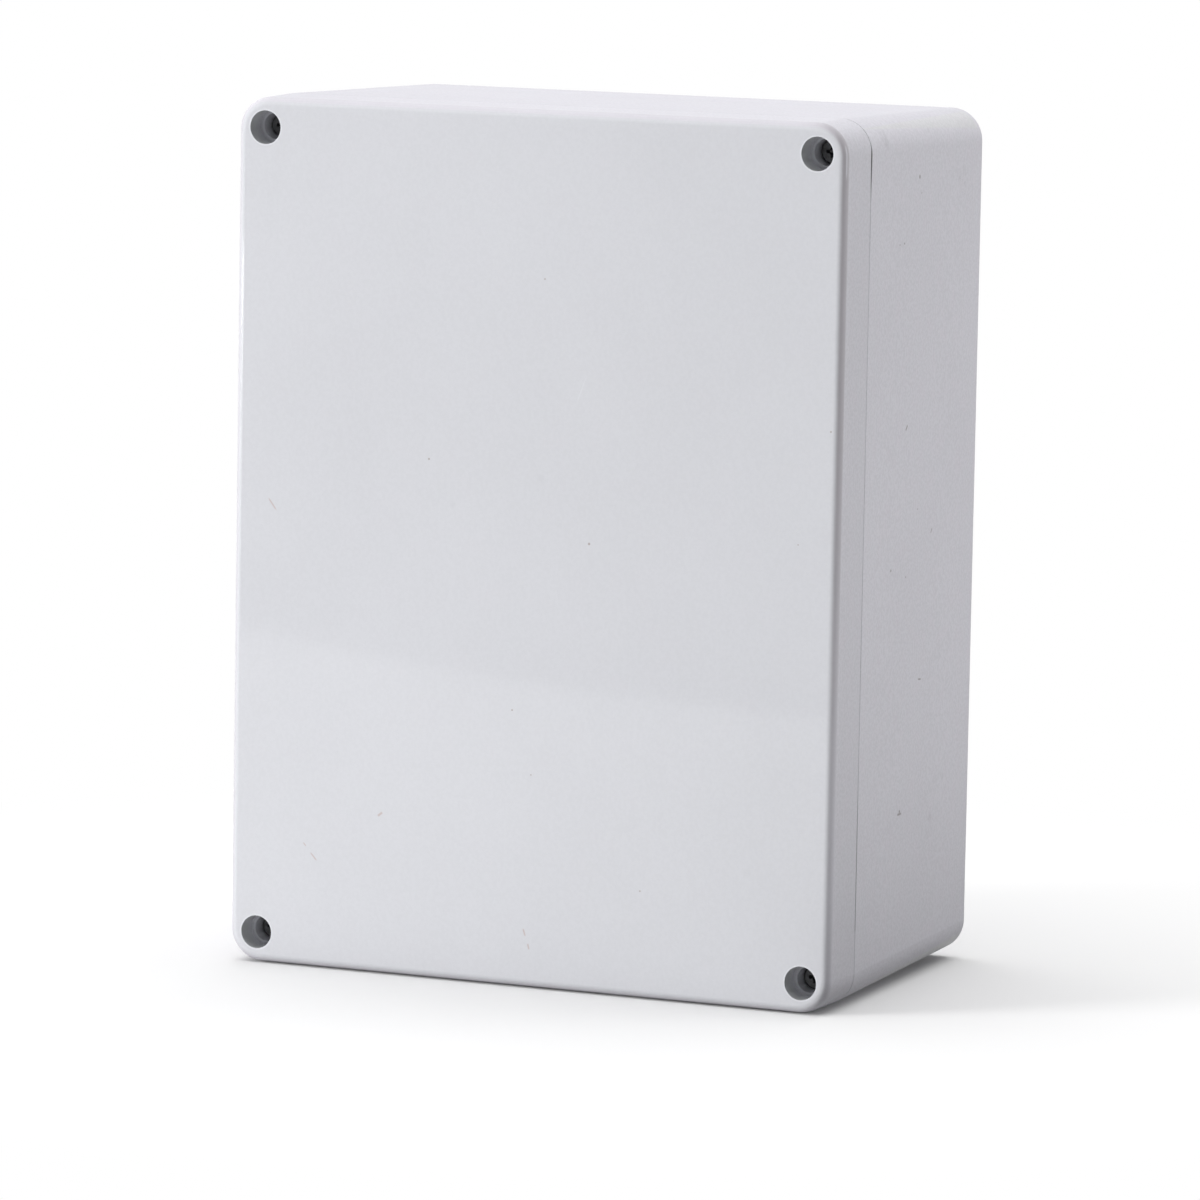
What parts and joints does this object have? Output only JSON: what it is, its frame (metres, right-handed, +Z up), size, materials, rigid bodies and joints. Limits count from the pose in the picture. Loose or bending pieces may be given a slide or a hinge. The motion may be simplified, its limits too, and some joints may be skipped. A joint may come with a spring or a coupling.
{
  "type": "plastic project box",
  "caption": "Upright sealed plastic enclosure with a deep base, a flat screwed lid, a cord gasket and recessed corner screws.",
  "frame": {"origin": "middle of the lower side of the upright box, at the height of its lowest edge", "axes": "+X to the right seen from the front, -Y out of the front face of the lid, +Z up along the height"},
  "size_m": [0.24, 0.14, 0.32],
  "materials": {
    "housing": "satin light grey moulding",
    "seal": "matt black cord",
    "insert_brass": "turned brass",
    "screw_steel": "dark dull steel"
  },
  "bodies": {
    "base": {"base": "housing", "threaded_inserts": "insert_brass"},
    "lid": {"lid": "housing", "gasket": "seal"},
    "screw_top_left": {"lid_screw_top_left": "screw_steel"},
    "screw_top_right": {"lid_screw_top_right": "screw_steel"},
    "screw_bottom_left": {"lid_screw_bottom_left": "screw_steel"},
    "screw_bottom_right": {"lid_screw_bottom_right": "screw_steel"}
  },
  "joints": [
    {"name": "lid_lift", "type": "slide", "parent": "base", "child": "lid", "axis": [0, -1, 0], "range_m": [0, 0.15]},
    {"name": "screw_out_top_left", "type": "slide", "parent": "lid", "child": "screw_top_left", "axis": [0, -1, 0], "range_m": [0, 0.0097]},
    {"name": "screw_out_top_right", "type": "slide", "parent": "lid", "child": "screw_top_right", "axis": [0, -1, 0], "range_m": [0, 0.0097]},
    {"name": "screw_out_bottom_left", "type": "slide", "parent": "lid", "child": "screw_bottom_left", "axis": [0, -1, 0], "range_m": [0, 0.0097]},
    {"name": "screw_out_bottom_right", "type": "slide", "parent": "lid", "child": "screw_bottom_right", "axis": [0, -1, 0], "range_m": [0, 0.0097]}
  ]
}
